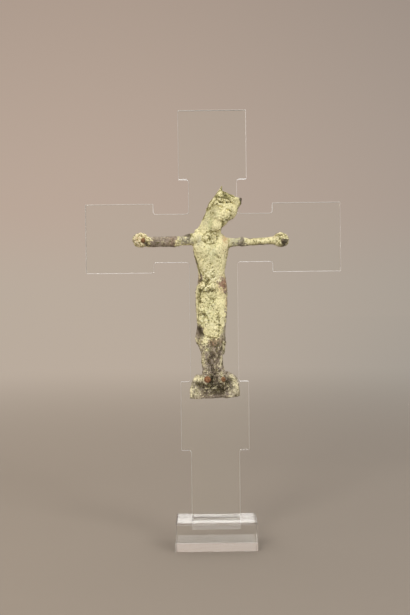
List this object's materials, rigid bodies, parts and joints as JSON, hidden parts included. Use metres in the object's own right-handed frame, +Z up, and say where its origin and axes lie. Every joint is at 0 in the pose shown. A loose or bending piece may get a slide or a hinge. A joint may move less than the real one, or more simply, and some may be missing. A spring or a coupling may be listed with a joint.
{
  "type": "crucifix corpus figure on a clear cross stand",
  "caption": "Small worn bronze figure, crowned and arms outstretched, nailed to a flat clear acrylic cross that stands in a clear acrylic block.",
  "frame": {"origin": "centre of the clear block's underside", "axes": "+Z up along the cross, +X to the viewer's right along its arms, +Y away from the viewer"},
  "size_m": [0.1846, 0.0405, 0.3156],
  "materials": {
    "corroded_bronze": "pale yellow-green corrosion crust, grey and brown where the crust is lost",
    "clear_acrylic_sheet": "clear, polished faces and edges",
    "clear_acrylic_block": "clear, polished faces",
    "rusted_iron": "matt orange-brown rust"
  },
  "bodies": {
    "root": {"corpus_figure": "corroded_bronze", "acrylic_cross": "clear_acrylic_sheet", "acrylic_block": "clear_acrylic_block", "left_hand_nail": "rusted_iron", "right_hand_nail": "rusted_iron", "left_foot_nail": "rusted_iron", "right_foot_nail": "rusted_iron"}
  },
  "joints": []
}
